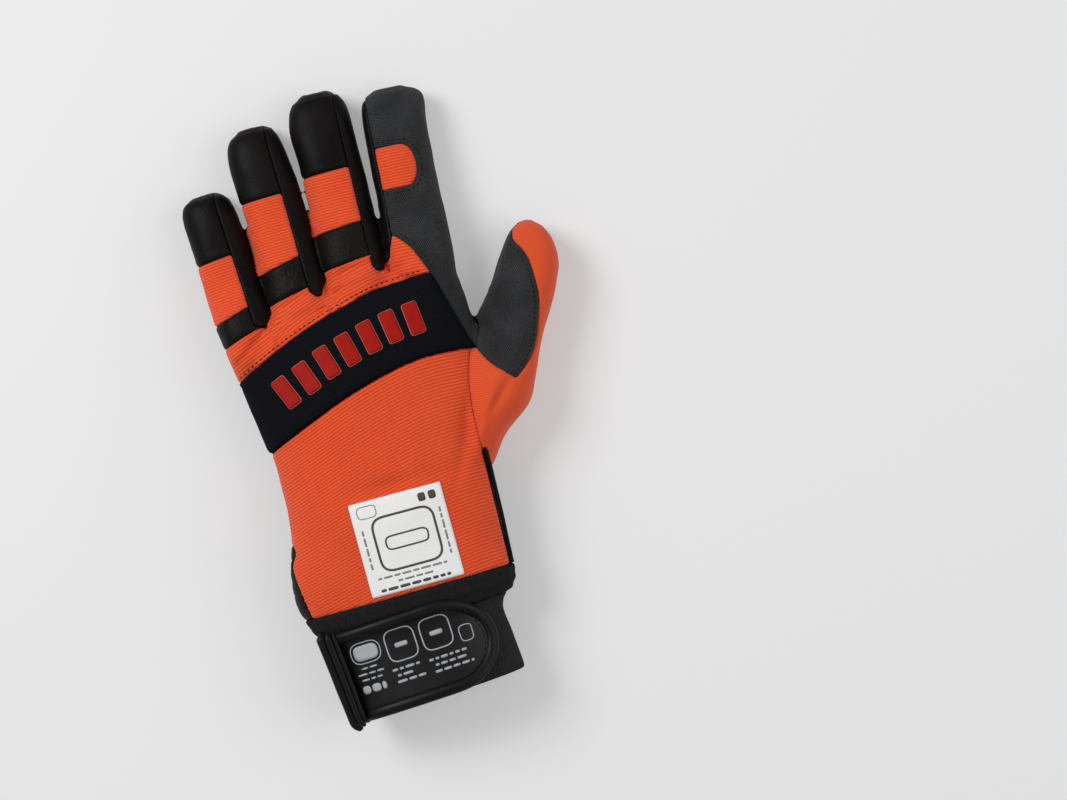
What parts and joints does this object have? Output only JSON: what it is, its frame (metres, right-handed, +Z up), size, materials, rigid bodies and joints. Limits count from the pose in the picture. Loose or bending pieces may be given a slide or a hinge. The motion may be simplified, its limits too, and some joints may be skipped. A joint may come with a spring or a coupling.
{
  "type": "left-hand chainsaw glove",
  "caption": "Left-hand protective glove with a ribbed knit back, leather palm, padded grip patches, a knuckle bar and a hook-and-loop wrist strap.",
  "frame": {"origin": "centre of the glove's outline seen from above, on the surface on which it lies palm down", "axes": "+Y from the cuff to the fingertips, +X to the thumb side, +Z up from the palm to the back of the hand"},
  "size_m": [0.1492, 0.2608, 0.0394],
  "materials": {
    "knit": "fine-ribbed stretch knit, matt orange",
    "leather": "soft grained goatskin, dull black",
    "grip": "close-woven charcoal synthetic, slightly pebbled",
    "neoprene": "padded neoprene with a matt blue-black face",
    "elastic": "fine elastic knit, matt black",
    "strap": "smooth black synthetic leather",
    "rubber": "low soft red rubber print",
    "label": "blank white woven label"
  },
  "bodies": {
    "root": {"back_panel": "knit", "knuckle_strip": "knit", "back_little": "knit", "back_ring": "knit", "back_middle": "knit", "index_window": "knit", "thumb_back": "knit", "cap_little": "leather", "cap_ring": "leather", "cap_middle": "leather", "band_little": "leather", "band_ring": "leather", "band_middle": "leather", "gusset_little_ring": "leather", "gusset_ring_middle": "leather", "gusset_middle_index": "leather", "palm_leather": "leather", "index_slot_upper": "leather", "index_slot_lower": "leather", "index_wrap": "grip", "thumb_leaf": "grip", "pad_upper": "grip", "pad_heel_outer": "grip", "pad_heel_inner": "grip", "tip_patch_little": "grip", "tip_patch_ring": "grip", "tip_patch_middle": "grip", "tip_patch_thumb": "grip", "mid_patch_ring": "grip", "mid_patch_middle": "grip", "knuckle_bar": "neoprene", "wrist_band": "elastic", "cuff": "elastic", "strap_face": "strap", "strap_rim": "strap", "strap_fold": "strap", "mark_1": "rubber", "mark_2": "rubber", "mark_3": "rubber", "mark_4": "rubber", "mark_5": "rubber", "mark_6": "rubber", "mark_7": "rubber", "label": "label"}
  },
  "joints": []
}
